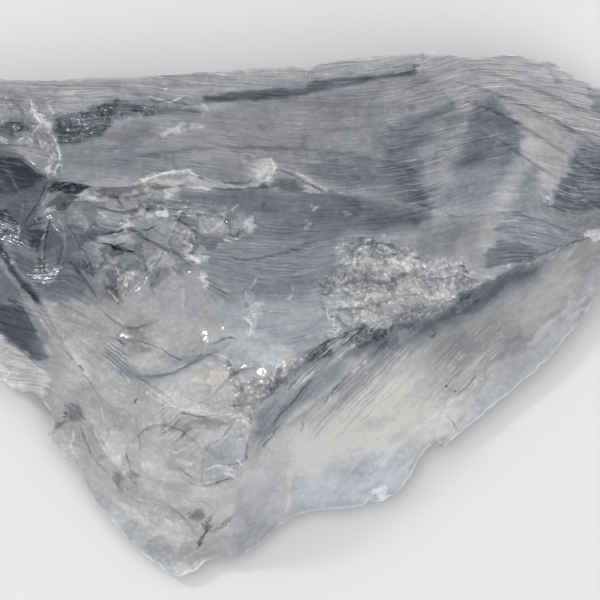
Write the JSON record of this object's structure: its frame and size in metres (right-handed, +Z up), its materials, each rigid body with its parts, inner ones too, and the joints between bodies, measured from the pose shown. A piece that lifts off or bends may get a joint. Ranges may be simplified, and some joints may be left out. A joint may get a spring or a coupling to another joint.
{
  "type": "petalite specimen",
  "caption": "Cleaved fragment of clear to milky petalite with conchoidal scars, crests and ledges above and a flat cleavage face below, to lie on a surface.",
  "frame": {"origin": "centre of the bounding box, on the cleavage face that the fragment lies on", "axes": "+X along the fragment's length, towards its narrower end; +Y towards its long straight upper edge; +Z up from the cleavage face"},
  "size_m": [0.0872, 0.0656, 0.0189],
  "materials": {
    "petalite": "vitreous, with silky hackled and sugary places"
  },
  "bodies": {
    "root": {"petalite_fragment": "petalite"}
  },
  "joints": []
}
